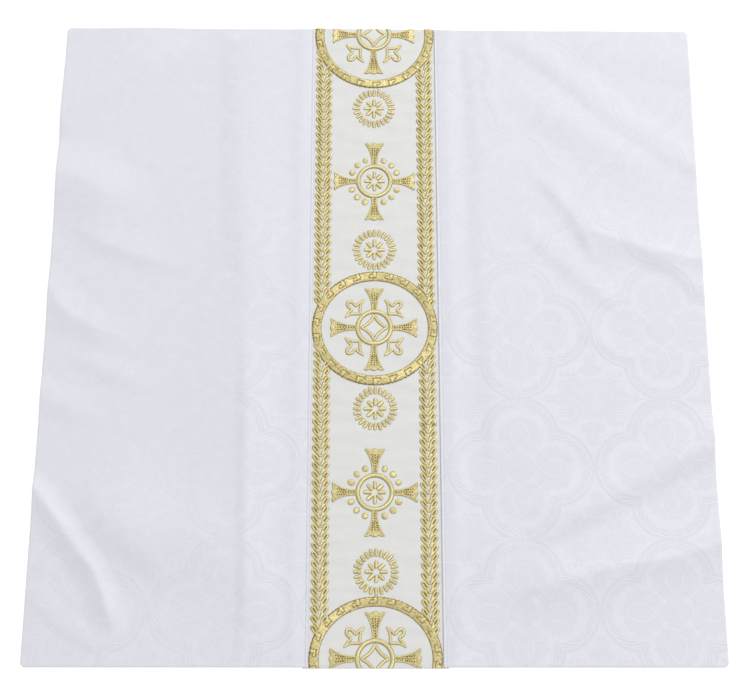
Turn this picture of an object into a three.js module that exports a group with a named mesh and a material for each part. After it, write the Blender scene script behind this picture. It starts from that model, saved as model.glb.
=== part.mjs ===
// Chalice veil: a square veil of white damask that lies flat, with an embroidered orphrey band
// down its middle. Two damask panels lap over the long edges of the band.
// Millimetres, +Z up. The origin is on the surface under the middle of the veil, +X runs across
// the band to the right and +Y along the band to the far edge.
import * as THREE from "three";

// Driving dimensions
const SIDE = 600; // finished side of the square
const PANEL_THICKNESS = 1.4; // damask with its turned backing
const BAND_THICKNESS = 1.2; // woven ground of the band with its interlining
const LAYER_GAP = 0.3; // air between two layers that touch
const BAND_SHOWING = 115.8; // width of the band between the folded edges of the two panels
const BAND_UNDER_LAP = 4.4; // how far the band runs on under each lap
const BAND_PAST_EDGE = 1; // the turned ends of the band stand this far past the panels
const BAND_OFFSET = -2; // the band's axis lies this far right of the middle of the veil
const BAND_LEAN = -0.0063; // and moves this far right for each millimetre towards the far edge
const LAP_CLEARANCE = 0.6; // flat run of the lap past the band's hidden edge
const LAP_FALL = 4; // run over which a panel comes down from the band to the surface
const CORNER_RADIUS = 4.5;
const CELL = 14; // largest step of the grid that a panel is made on

// Folds of the damask. Each row is one straight stretch of a soft ridge: its crest runs from
// (x1, y1) to (x2, y2), rises by rise and falls to nothing at spread to either side.
const FOLDS = [
  { x1: -300, y1: -142, x2: -262, y2: -188, rise: 3.0, spread: 17 },
  { x1: -262, y1: -188, x2: -222, y2: -250, rise: 3.4, spread: 19 },
  { x1: -222, y1: -250, x2: -204, y2: -300, rise: 2.2, spread: 20 },
  { x1: -300, y1: 163, x2: -232, y2: 148, rise: 1.8, spread: 24 },
  { x1: -300, y1: 55, x2: -238, y2: -2, rise: 1.8, spread: 20 },
  { x1: -262, y1: 88, x2: -186, y2: 60, rise: 1.0, spread: 18 },
  { x1: -300, y1: -62, x2: -252, y2: -76, rise: 1.2, spread: 20 },
  { x1: 142, y1: 268, x2: 212, y2: 222, rise: 1.4, spread: 22 },
  { x1: 212, y1: 222, x2: 300, y2: 160, rise: 1.8, spread: 22 },
  { x1: 178, y1: 122, x2: 204, y2: 84, rise: 1.6, spread: 16 },
  { x1: 204, y1: 96, x2: 300, y2: 74, rise: 2.2, spread: 18 },
  { x1: 300, y1: -142, x2: 222, y2: -166, rise: 2.2, spread: 20 },
  { x1: 222, y1: -166, x2: 128, y2: -196, rise: 1.6, spread: 20 },
  { x1: 300, y1: -194, x2: 214, y2: -212, rise: 2.6, spread: 20 },
  { x1: 214, y1: -212, x2: 128, y2: -226, rise: 1.6, spread: 20 },
  { x1: 104, y1: -192, x2: 82, y2: -222, rise: 2.0, spread: 15 },
  { x1: 108, y1: -222, x2: 80, y2: -272, rise: 2.0, spread: 16 },
];

// Derived sizes
const HALF = SIDE / 2;
const LAP_RISE = BAND_THICKNESS + LAYER_GAP;
const LAP_FLAT = BAND_UNDER_LAP + LAP_CLEARANCE;
const BAND_CUT_WIDTH = BAND_SHOWING + 2 * BAND_UNDER_LAP;
const CORNER_INSET = CORNER_RADIUS * (1 - Math.SQRT1_2);

/** X of the middle of the band at height y of the veil. */
function bandAxis(y) {
  return BAND_OFFSET + BAND_LEAN * y;
}

/** Distance from (x, y) to the crest line of a fold. */
function distanceToCrest(x, y, fold) {
  const runX = fold.x2 - fold.x1;
  const runY = fold.y2 - fold.y1;
  const along = ((x - fold.x1) * runX + (y - fold.y1) * runY) / (runX * runX + runY * runY);
  const t = Math.min(1, Math.max(0, along));
  return Math.hypot(x - fold.x1 - t * runX, y - fold.y1 - t * runY);
}

/** Height of the underside over the surface where folds lift the cloth: the highest ridge wins. */
function foldLift(x, y) {
  let lift = 0;
  for (const fold of FOLDS) {
    const share = distanceToCrest(x, y, fold) / fold.spread;
    if (share < 1) {
      lift = Math.max(lift, fold.rise * Math.cos((share * Math.PI) / 2) ** 2);
    }
  }
  return lift;
}

/** Height of the underside over the surface at this distance out from a panel's folded edge. */
function lapLift(fromFold) {
  const down = (fromFold - LAP_FLAT) / LAP_FALL;
  return LAP_RISE * (1 - Math.min(1, Math.max(0, down)));
}

/** Even steps from start to end, none longer than CELL, without the start itself. */
function steps(start, end) {
  const count = Math.ceil(Math.abs(end - start) / CELL);
  return Array.from({ length: count }, (_, i) => start + ((end - start) * (i + 1)) / count);
}

/**
 * A closed sheet on a grid of columns and rows. plan(u, v) gives the x and y of a grid point,
 * under(x, y) the height of its underside, and the top lies thickness above that.
 */
function sheet(columns, rows, plan, under, thickness) {
  const wide = columns.length;
  const tall = rows.length;
  const layer = wide * tall;
  const positions = new Float32Array(2 * layer * 3);
  for (let r = 0; r < tall; r += 1) {
    for (let c = 0; c < wide; c += 1) {
      const [x, y] = plan(columns[c], rows[r]);
      const low = under(x, y);
      const i = r * wide + c;
      positions.set([x, y, low], i * 3);
      positions.set([x, y, low + thickness], (layer + i) * 3);
    }
  }
  const index = [];
  const quad = (a, b, c, d) => index.push(a, b, c, a, c, d);
  for (let r = 0; r < tall - 1; r += 1) {
    for (let c = 0; c < wide - 1; c += 1) {
      const i = r * wide + c;
      quad(i, i + wide, i + wide + 1, i + 1);
      quad(layer + i, layer + i + 1, layer + i + wide + 1, layer + i + wide);
    }
  }
  for (let c = 0; c < wide - 1; c += 1) {
    const far = (tall - 1) * wide + c;
    quad(c, c + 1, layer + c + 1, layer + c);
    quad(far + 1, far, layer + far, layer + far + 1);
  }
  for (let r = 0; r < tall - 1; r += 1) {
    const near = r * wide;
    const last = near + wide - 1;
    quad(near + wide, near, layer + near, layer + near + wide);
    quad(last, last + wide, layer + last + wide, layer + last);
  }
  const geometry = new THREE.BufferGeometry();
  geometry.setAttribute("position", new THREE.BufferAttribute(positions, 3));
  geometry.setIndex(index);
  return geometry;
}

/**
 * One damask panel. side is -1 for the left one and 1 for the right one. Its columns run from
 * the folded edge over the band to the outer edge of the veil.
 */
function damaskPanel(side) {
  const foldEdge = (y) => bandAxis(y) + (side * BAND_SHOWING) / 2;
  const widest = HALF - side * BAND_OFFSET - BAND_SHOWING / 2;
  const flatFrom = LAP_FLAT + LAP_FALL;
  const columns = [0, LAP_FLAT, flatFrom, ...steps(flatFrom, widest - CORNER_RADIUS), widest];
  const rowsInside = steps(-HALF + CORNER_RADIUS, HALF - CORNER_RADIUS);
  const rows = [-HALF, -HALF + CORNER_RADIUS, ...rowsInside, HALF];

  const plan = (fromFold, row) => {
    const atOuterEdge = fromFold === widest;
    const atEnd = Math.abs(row) === HALF;
    const inset = atOuterEdge && atEnd ? CORNER_INSET : 0;
    const y = row - Math.sign(row) * inset;
    const share = Math.max(0, fromFold - flatFrom) / (widest - flatFrom);
    const start = foldEdge(y);
    const outer = side * (HALF - inset);
    const near = start + side * Math.min(fromFold, flatFrom);
    return [near + (outer - near) * share, y];
  };

  const under = (x, y) => {
    const fromFold = side * (x - foldEdge(y));
    return lapLift(fromFold) + (fromFold > flatFrom ? foldLift(x, y) : 0);
  };

  const ordered = side > 0 ? columns : [...columns].reverse();
  return sheet(ordered, rows, plan, under, PANEL_THICKNESS);
}

/** The orphrey band: one flat strip, cut wider than it shows, so that both laps cover its edges. */
function orphreyBand() {
  const halfLength = HALF + BAND_PAST_EDGE;
  const across = [-BAND_CUT_WIDTH / 2, BAND_CUT_WIDTH / 2];
  const along = [-halfLength, halfLength];
  const plan = (fromAxis, y) => [bandAxis(y) + fromAxis, y];
  return sheet(across, along, plan, () => 0, BAND_THICKNESS);
}

/** A named sub-part with its own finish. */
function subPart(name, geometry, finish) {
  const mesh = new THREE.Mesh(geometry, new THREE.MeshStandardMaterial(finish));
  mesh.name = name;
  return mesh;
}

const damask = { color: 0xe6e6ee, roughness: 0.55, metalness: 0 };
const ivory = { color: 0xe3e3da, roughness: 0.5, metalness: 0 };

const veil = new THREE.Group();
veil.name = "chalice_veil";
veil.add(subPart("damask_panel_left", damaskPanel(-1), damask));
veil.add(subPart("damask_panel_right", damaskPanel(1), damask));
veil.add(subPart("orphrey_band", orphreyBand(), ivory));

export default veil;
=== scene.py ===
"""Chalice veil: two panels of white damask and an embroidered orphrey band, laid out flat.

Lengths in the tables and formulas are millimetres, and a mesh is made in metres at the very end.
+X runs across the band to the right, +Y along the band to the far edge, +Z up out of the cloth.
"""
import math
from collections import namedtuple

import bmesh
import bpy
import numpy as np
from bpy.props import FloatProperty, FloatVectorProperty, IntProperty, PointerProperty
from mathutils import Euler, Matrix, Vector


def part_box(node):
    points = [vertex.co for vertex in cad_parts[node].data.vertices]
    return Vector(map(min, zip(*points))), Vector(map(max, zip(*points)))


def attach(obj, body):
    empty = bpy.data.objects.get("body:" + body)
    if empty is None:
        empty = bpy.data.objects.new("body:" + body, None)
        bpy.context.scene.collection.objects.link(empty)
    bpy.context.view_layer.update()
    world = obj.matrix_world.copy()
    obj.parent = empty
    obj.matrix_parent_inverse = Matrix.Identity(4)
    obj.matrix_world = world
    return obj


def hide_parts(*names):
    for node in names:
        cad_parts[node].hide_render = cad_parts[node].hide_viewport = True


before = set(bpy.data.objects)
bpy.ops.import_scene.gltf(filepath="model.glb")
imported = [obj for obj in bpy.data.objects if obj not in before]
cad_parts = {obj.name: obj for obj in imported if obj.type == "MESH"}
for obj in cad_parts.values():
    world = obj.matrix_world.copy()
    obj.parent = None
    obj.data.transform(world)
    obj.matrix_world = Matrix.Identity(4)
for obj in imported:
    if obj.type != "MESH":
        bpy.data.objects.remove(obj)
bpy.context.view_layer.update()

bl_info = {
    "name": "Chalice veil",
    "version": (1, 0, 0),
    "blender": (4, 5, 0),
    "location": "3D View > Sidebar > Veil",
    "description": "A square damask chalice veil with an embroidered orphrey band",
    "category": "Add Mesh",
}

MM = 0.001


def node_box(node):
    """Lowest and highest corner of a solid of the frame, in millimetres."""
    low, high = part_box(node)
    return np.array(low) / MM, np.array(high) / MM


# Sizes that the veil's solids have
HALF = float(round(node_box("damask_panel_right")[1][0], 3))
BAND_HALF_LENGTH = float(round(node_box("orphrey_band")[1][1], 3))
BAND_THICKNESS = float(round(node_box("orphrey_band")[1][2], 3))
PANEL_THICKNESS = 1.4
LAYER_GAP = 0.3
BAND_SHOWING = 115.8
BAND_UNDER_LAP = 4.4
BAND_OFFSET = -2.0
BAND_LEAN = -0.0063
LAP_FLAT = BAND_UNDER_LAP + 0.6
LAP_FALL = 24.0
LAP_RISE = BAND_THICKNESS + LAYER_GAP
CORNER_RADIUS = 4.5

# How much thinner a panel is at its folded edge, how far stitches are sunk into the cloth, how
# much lower again the edge stitches lie in their groove, and how far short of the band's end
# its embroidery is cut
FOLD_THINNER = 0.85
STITCH_SUNK = 0.12
EDGE_STITCH_LOWER = 0.12
CUT_SHORT = 0.4

# Low ridge and stitched groove of a folded edge: place from the edge, half width and height
Bell = namedtuple("Bell", "place half height")
EDGE_RIDGE = Bell(0.8, 0.7, 0.28)
EDGE_GROOVE = Bell(2.1, 0.55, 0.22)

# Creases of the damask. Walking along the points, the cloth rises to the crest over the width
# "left" or "right" beside it, and the crest runs out over "start" and "end" at its two ends.
# The points are read from the photo laid flat under a grid. The other numbers are round
# ones, most of them rounded from or near those of a fit to the photo's light and shade.
# "far_round" is how round a crest is towards the far edge.
KNIFE = 0
PRESSED = 0.3
ROUND = 0.8
Crease = namedtuple("Crease", "rise left right soft start end points far_round", defaults=(1.5,))
CREST_ROUND = 1.5
CREASES_LEFT = (
    Crease(3, 15, 20, PRESSED, 0, 40, ((-300, -147), (-281, -171), (-262, -196), (-244, -218),
        (-233, -242), (-218, -285))),
    Crease(1.8, 60, 25, ROUND, 40, 40, ((-254, -128), (-236, -170), (-205, -198), (-165, -222))),
    Crease(3, 80, 60, ROUND, 60, 60, ((-262, -150), (-225, -178), (-165, -190), (-100, -182))),
    Crease(3, 60, 80, PRESSED, 300, 80, ((-134, 300), (-130, 220), (-126, 140), (-121, 60),
        (-118, -20), (-116, -90), (-113, -170), (-109, -260), (-108, -300)), 6),
    Crease(1.5, 60, 20, ROUND, 20, 80, ((-134, 300), (-130, 220), (-126, 140), (-122, 80),
        (-119, 10)), 5),
    Crease(1, 30, 10, ROUND, 60, 40, ((-119, 0), (-116, -80), (-113, -180), (-110, -300))),
    Crease(4, 40, 50, ROUND, 0, 60, ((-300, 148), (-270, 138), (-245, 119), (-229, 90))),
    Crease(1.5, 35, 15, PRESSED, 60, 60, ((-300, 107), (-260, 84), (-235, 73), (-205, 63),
        (-160, 55))),
    Crease(2.3, 25, 25, PRESSED, 0, 60, ((-300, 36), (-283, 14), (-255, -2), (-212, -20))),
    Crease(1, 15, 15, ROUND, 40, 40, ((-285, -22), (-255, -36), (-225, -47), (-195, -54))),
    Crease(1.5, 20, 20, ROUND, 0, 40, ((-300, -64), (-275, -73), (-240, -80))),
    Crease(0.7, 14, 10, ROUND, 20, 20, ((-298, -236), (-266, -264), (-225, -288))),
    Crease(4, 30, 60, ROUND, 80, 0, ((-160, 295), (-205, 277), (-245, 248), (-300, 207))),
    Crease(0.3, 5, 5, PRESSED, 20, 20, ((-241, 300), (-236, 284), (-243, 273), (-256, 262),
        (-280, 240))),
    Crease(1, 7, 8, PRESSED, 40, 20, ((-68, -180), (-70, -235), (-69, -300))),
)
CREASES_RIGHT = (
    Crease(1.2, 25, 15, ROUND, 40, 0, ((108, 300), (150, 276), (190, 242), (225, 210), (262, 183),
        (300, 156))),
    Crease(1.5, 30, 30, ROUND, 60, 80, ((115, 243), (150, 225), (185, 200), (220, 175), (285, 138))),
    Crease(1, 60, 35, ROUND, 40, 0, ((165, 299), (215, 285), (260, 276), (300, 262))),
    Crease(1.4, 30, 12, PRESSED, 40, 20, ((140, 160), (168, 128), (188, 98), (204, 60))),
    Crease(2.5, 40, 20, PRESSED, 40, 0, ((176, 101), (215, 88), (245, 77), (275, 71), (300, 65))),
    Crease(1.3, 20, 15, ROUND, 40, 0, ((232, 77), (270, 60), (300, 36))),
    Crease(0.9, 20, 13, ROUND, 40, 40, ((122, 110), (160, 75), (188, 48), (235, 10))),
    Crease(0.6, 15, 12, ROUND, 20, 40, ((182, 4), (214, -20), (256, -26))),
    Crease(4, 20, 35, ROUND, 0, 80, ((300, -104), (268, -120), (230, -141), (190, -161), (110, -199))),
    Crease(4.5, 40, 60, KNIFE, 0, 80, ((300, -195), (262, -206), (212, -215), (160, -228), (88, -245))),
    Crease(1.7, 25, 10, PRESSED, 20, 20, ((122, -184), (104, -208), (86, -238), (72, -260),
        (68, -285))),
    Crease(1, 12, 8, PRESSED, 20, 20, ((108, -170), (92, -190), (72, -214))),
    Crease(1, 60, 15, ROUND, 40, 60, ((88, 298), (97, 190), (98, 90), (103, -30), (108, -150))),
    Crease(0.5, 12, 8, PRESSED, 20, 20, ((98, 300), (100, 280), (108, 262), (104, 238), (113, 203))),
)

# Small pinches of the cloth along the old fold lines: middle, turn in degrees, half length,
# half width and depth
Pinch = namedtuple("Pinch", "x y turn long wide deep")
PINCHES = (
    Pinch(-136, 272, 10, 6, 3, 0.35),
    Pinch(-137, 244, 0, 6, 3, 0.3),
    Pinch(-136, 208, -12, 8, 6, 0.4),
    Pinch(-135, 176, 14, 7, 6, 0.35),
    Pinch(-133, 110, 0, 7, 6, 0.3),
    Pinch(-132, 81, 8, 8, 6, 0.4),
    Pinch(-130, 51, 0, 7, 6, 0.4),
    Pinch(-122, -46, 60, 7, 3, 0.45),
    Pinch(-119, -78, 80, 9, 3, 0.4),
    Pinch(-118, -210, 70, 8, 3.5, 0.4),
    Pinch(-119, -246, 90, 8, 3, 0.3),
    Pinch(62, 262, 10, 7, 4, 0.55),
    Pinch(80, 272, 60, 8, 4, 0.4),
    Pinch(84, 238, 0, 5, 3, 0.3),
    Pinch(106, 236, 80, 8, 2.2, 0.25),
    Pinch(107, 212, 110, 10, 2.2, 0.3),
    Pinch(206, 239, 0, 2.2, 2.2, 0.25),
    Pinch(-243, 290, 70, 8, 2.2, 0.3),
    Pinch(-262, 262, 40, 9, 2.2, 0.3),
    Pinch(-281, 243, 40, 7, 2.2, 0.25),
)

# Middles of the motifs on the band. A medallion also has its ring's inner half height and width
# at the top, the stretch of its tulips, and how far its arms reach: right, far, left and near.
Medallion = namedtuple("Medallion", "x y inner_tall width_tall stretch arms")
MEDALLIONS = (
    Medallion(-4.0, 294.1, 47.7, 8.7, 1.11, (39.4, 37.8, 40.0, 42.0)),
    Medallion(-2.3, -0.9, 44.5, 9.3, 1.0, (39.4, 37.8, 40.0, 40.6)),
    Medallion(-0.2, -293.2, 43.8, 8.4, 1.0, (39.6, 39.6, 39.3, 40.6)),
)
SMALL_CROSS_MIDDLES = ((-3.3, 142.0), (-1.5, -151.0))
ROSETTE_MIDDLES = ((-4.0, 216.5), (-3.0, 74.0), (-1.5, -76.0), (0.0, -220.0))

# Stitched shapes
CENTRE_RING_RADIUS = 15.05
CENTRE_RING_STROKE = 3.9
ARM_START = 16.2
RING_INNER = 48.3
RING_WIDTH = 8.7
RING_DEEPEST = 9.3
KEY_COUNT = 22
KEY_LENGTH = 14.8
LEAF_PITCH = 7.8
LEAF_BORDER_MIDDLES = (-50.1, 44.9)
LEAF_SHIFTS = (3.2, 1.3)

# The damask's repeat and the middle of one quatrefoil on each panel
REPEAT = (130.4, 127.6)
QUATREFOIL_MIDDLES = {-1: (-130.9, 0.9), 1: (126.6, -3.2)}

# Photograph's frame and the camera that fits the veil's four corners in it
PHOTO_WIDTH = 750
FOCAL_PIXELS = 1300.98
AXIS_RIGHT_OF_MIDDLE = 22.55
AXIS_ABOVE_MIDDLE = 0.45
CAMERA_PLACE = (2.8, -332.9, 1133.6)
CAMERA_TURN = (15.545, -0.787, -0.007)
SENSOR_WIDTH = 36.0

# The soft light at the far right, in metres, and how strongly a material's relief shows
KEY_PLACE = (3.0, 3.2, 3.6)
KEY_ACROSS = 2.2
BUMP_STRENGTH = 0.8


def band_axis(y):
    """X of the middle of the band at height y of the veil."""
    return BAND_OFFSET + BAND_LEAN * y


def smooth_step(value, low, high):
    """0 below low, 1 above high, and 3t^2 - 2t^3 between them."""
    t = np.clip((value - low) / (high - low), 0.0, 1.0)
    return t * t * (3.0 - 2.0 * t)


def bell(value, place, half):
    """exp(-((value - place) / half)^2)."""
    return np.exp(-(((value - place) / half) ** 2))


def quarter_turned(direction):
    """Unit vectors a quarter turn to the left of these directions."""
    unit = direction / np.linalg.norm(direction, axis=-1, keepdims=True)
    return np.stack([-unit[..., 1], unit[..., 0]], -1)


def curve_through(points, count):
    """A smooth path through a few points: Catmull-Rom stretches, walked in even steps."""
    knots = np.array(points, float)
    knots = np.concatenate([[2 * knots[0] - knots[1]], knots, [2 * knots[-1] - knots[-2]]])
    t = np.linspace(0.0, 1.0, 24, endpoint=False)[:, None]
    fine = []
    for a, b, c, d in zip(knots[:-3], knots[1:-2], knots[2:-1], knots[3:]):
        bend = (2 * a - 5 * b + 4 * c - d) * t**2 + (3 * b - a - 3 * c + d) * t**3
        fine.append(b + 0.5 * ((c - a) * t + bend))
    fine = np.concatenate([*fine, knots[-2:-1]])
    steps = np.linalg.norm(np.diff(fine, axis=0), axis=1)
    walked = np.concatenate([[0.0], np.cumsum(steps)])
    even = np.linspace(0.0, walked[-1], count)
    return np.stack([np.interp(even, walked, fine[:, 0]), np.interp(even, walked, fine[:, 1])], -1)


def crease_lift(x, y, crease):
    """Height of one crease at the points x, y.

    The distance to the smooth line through its points is rounded off near the crest and divided
    by the width on that side. With that share t, and k twice the softness, the height is
    rise (1 - t)^2 (1 + k t), faded along the line at its ends. How far along the line a point
    lies is the mean over all its stretches, weighted by the bell of their extra distance.
    """
    points = curve_through(crease.points, 3 * len(crease.points) - 2)
    starts = points[:-1]
    runs = points[1:] - starts
    lengths = np.hypot(runs[:, 0], runs[:, 1])
    before = np.concatenate([[0.0], np.cumsum(lengths)])
    total = before[-1]
    best = np.full(x.shape, 1e9)
    signed = np.zeros(x.shape)
    distances = []
    walks = []
    for start, run, length, passed in zip(starts, runs, lengths, before):
        along = ((x - start[0]) * run[0] + (y - start[1]) * run[1]) / length**2
        t = np.clip(along, 0.0, 1.0)
        off_x = x - start[0] - t * run[0]
        off_y = y - start[1] - t * run[1]
        distance = np.hypot(off_x, off_y)
        nearer = distance < best
        best = np.where(nearer, distance, best)
        signed = np.where(nearer, run[0] * off_y - run[1] * off_x, signed)
        distances.append(distance)
        walks.append(passed + t * length)
    weight = bell(np.stack(distances), best, 9.0)
    walked = (weight * np.stack(walks)).sum(0) / weight.sum(0)
    width = np.where(signed >= 0, crease.left, crease.right)
    crest = CREST_ROUND + (crease.far_round - CREST_ROUND) * smooth_step(y, -40.0, 110.0)
    near = np.sqrt(best**2 + crest**2) - crest
    share = np.clip(near / width, 0.0, 1.0)
    height = crease.rise * (1.0 - share) ** 2 * (1.0 + 2.0 * crease.soft * share)
    if crease.start:
        height = height * smooth_step(walked, 0.0, crease.start)
    if crease.end:
        height = height * smooth_step(total - walked, 0.0, crease.end)
    return height


def pinch_depth(x, y):
    """Depth of all the pinches: each is the bell exp(-a^2 - b^2) along and across its line."""
    depth = np.zeros_like(x)
    for pinch in PINCHES:
        c = math.cos(math.radians(pinch.turn))
        s = math.sin(math.radians(pinch.turn))
        along = ((x - pinch.x) * c + (y - pinch.y) * s) / pinch.long
        across = ((y - pinch.y) * c - (x - pinch.x) * s) / pinch.wide
        depth = depth + pinch.deep * np.exp(-(along**2) - across**2)
    return depth


def unevenness(x, y):
    """Slow swell of cloth that is not pressed flat: a sum of three shallow sine waves."""
    wave = np.sin(x / 37.0 + y / 61.0) + np.sin(y / 43.0 - x / 71.0 + 1.3)
    return 0.12 * (wave + 0.7 * np.sin((x + 2.0 * y) / 58.0 + 0.6) + 2.0)


def panel_lift(x, y, from_fold, creases):
    """Height of a panel's underside: the lap over the band, and beyond it the creases."""
    lap = LAP_RISE * (1.0 - smooth_step(from_fold, LAP_FLAT, LAP_FLAT + LAP_FALL))
    lift = unevenness(x, y)
    for crease in creases:
        lift = lift + crease_lift(x, y, crease)
    beyond = smooth_step(from_fold, LAP_FLAT, LAP_FLAT + LAP_FALL)
    return np.maximum(lap + lift * beyond - pinch_depth(x, y), 0.0)


def make_piece(name, points, faces, material, thread=None, crest=None):
    """A mesh object. points are millimetres and faces whole arrays, one row of corners a face.

    thread is the UV map along and across the stitches, crest says how far a point is from the
    needle line that it dips to, and sets the gold's painted shade where low and painted highlight where
    high.
    """
    corners = np.concatenate([f.ravel() for f in faces]).astype(np.int32)
    counts = np.concatenate([np.full(len(f), f.shape[1]) for f in faces])
    starts = (np.cumsum(counts) - counts).astype(np.int32)
    mesh = bpy.data.meshes.new(name)
    mesh.vertices.add(len(points))
    mesh.vertices.foreach_set("co", (points * MM).astype(np.float32).ravel())
    mesh.loops.add(len(corners))
    mesh.loops.foreach_set("vertex_index", corners)
    mesh.polygons.add(len(counts))
    mesh.polygons.foreach_set("loop_start", starts)
    mesh.update(calc_edges=True)
    if thread is not None:
        layer = mesh.uv_layers.new(name="thread")
        layer.uv.foreach_set("vector", thread[corners].astype(np.float32).ravel())
    if crest is not None:
        attribute = mesh.attributes.new("crest", "FLOAT", "POINT")
        attribute.data.foreach_set("value", crest.astype(np.float32))
    mesh.polygons.foreach_set("use_smooth", np.ones(len(counts), bool))
    mesh.materials.append(material)
    mesh.validate()
    piece = bpy.data.objects.new(name, mesh)
    bpy.context.scene.collection.objects.link(piece)
    return piece


def cloth_sheet(x, y, under, top, rim):
    """Points and faces of a closed sheet of cloth with a rounded rim.

    x, y, under and top are grids of rows by columns. The outline of the grid is carried out by
    rim times the cosine, and down by half the thickness times the sine, of an angle that turns
    from straight up to straight down.
    """
    rows, columns = x.shape
    layer = rows * columns
    grid = np.arange(layer).reshape(rows, columns)
    upper = np.stack([grid[:-1, :-1], grid[:-1, 1:], grid[1:, 1:], grid[1:, :-1]], -1).reshape(-1, 4)
    lower = upper[:, ::-1] + layer
    outline = np.concatenate([grid[0, :-1], grid[:-1, -1], grid[-1, :0:-1], grid[:0:-1, 0]])
    plan = np.stack([x.ravel(), y.ravel()], -1)
    edge = plan[outline]
    outward = -quarter_turned(np.roll(edge, -1, 0) - np.roll(edge, 1, 0))
    high = top.ravel()[outline]
    low = under.ravel()[outline]
    middle = (high + low) / 2
    half = (high - low) / 2
    points = [
        np.column_stack([plan, top.ravel()]),
        np.column_stack([plan, under.ravel()]),
    ]
    rings = [outline]
    placed = 2 * layer
    for angle in np.radians((60, 30, 0, -30, -60)):
        ring = edge + outward * rim * math.cos(angle)
        points.append(np.column_stack([ring, middle + half * math.sin(angle)]))
        rings.append(placed + np.arange(len(outline)))
        placed += len(outline)
    rings.append(outline + layer)
    faces = [upper, lower]
    for above, below in zip(rings[:-1], rings[1:]):
        faces.append(np.stack([above, below, np.roll(below, -1), np.roll(above, -1)], -1))
    return np.concatenate(points), faces


def even_steps(start, end, step):
    """Even steps from start to end, none longer than step."""
    return np.linspace(start, end, int(math.ceil((end - start) / step)) + 1)


def damask_panel(side, step):
    """Points and faces of one panel, -1 for the left and 1 for the right.

    Columns run from the folded edge on the band to the outer edge, close together at the fold,
    where the cloth is thinner and a low stitched ridge stands along it beside a shallow groove,
    both bells in section. Corners are rounded by the map of a square to a disc,
    a' = a sqrt(1 - b^2 / 2).
    """
    rim = PANEL_THICKNESS / 2
    widest = HALF - side * BAND_OFFSET - BAND_SHOWING / 2
    near = np.array([0.5, 0.75, 1.0, 1.3, 1.6, 1.9, 2.2, 2.5, 2.9, 3.5, 4.4, 5.6, 7.2])
    even_from = 9.0
    columns = np.concatenate([near, even_steps(even_from, widest - rim, step)])
    rows = even_steps(-HALF + rim, HALF - rim, step)
    from_fold, y = np.meshgrid(columns if side > 0 else columns[::-1], rows)
    start = band_axis(y) + side * BAND_SHOWING / 2
    share = np.maximum(0.0, from_fold - even_from) / (widest - rim - even_from)
    begin = start + side * np.minimum(from_fold, even_from)
    x = begin + (side * (HALF - rim) - begin) * share
    radius = CORNER_RADIUS - rim
    a = np.clip((side * x - (HALF - CORNER_RADIUS)) / radius, 0.0, 1.0)
    b = np.clip((np.abs(y) - (HALF - CORNER_RADIUS)) / radius, 0.0, 1.0)
    x = x - side * radius * (a - a * np.sqrt(1.0 - b**2 / 2))
    y = y - np.sign(y) * radius * (b - b * np.sqrt(1.0 - a**2 / 2))
    from_fold = side * (x - band_axis(y)) - BAND_SHOWING / 2
    under = panel_lift(x, y, from_fold, CREASES_LEFT if side < 0 else CREASES_RIGHT)
    ridge = EDGE_RIDGE.height * bell(from_fold, EDGE_RIDGE.place, EDGE_RIDGE.half)
    groove = EDGE_GROOVE.height * bell(from_fold, EDGE_GROOVE.place, EDGE_GROOVE.half)
    thick = PANEL_THICKNESS - FOLD_THINNER * (1.0 - smooth_step(from_fold, 0.5, 14.0))
    return cloth_sheet(x, y, under, under + thick + ridge - groove, rim)


def band_ground(step):
    """Points and faces of the band's woven ground, whose long edges lie under the two laps."""
    rim = BAND_THICKNESS / 2
    reach = BAND_SHOWING / 2 + BAND_UNDER_LAP - rim
    length = BAND_HALF_LENGTH - rim
    across, y = np.meshgrid(even_steps(-reach, reach, step), even_steps(-length, length, step))
    x = band_axis(y) + across
    under = np.zeros_like(x)
    return cloth_sheet(x, y, under, under + BAND_THICKNESS, rim)


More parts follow.
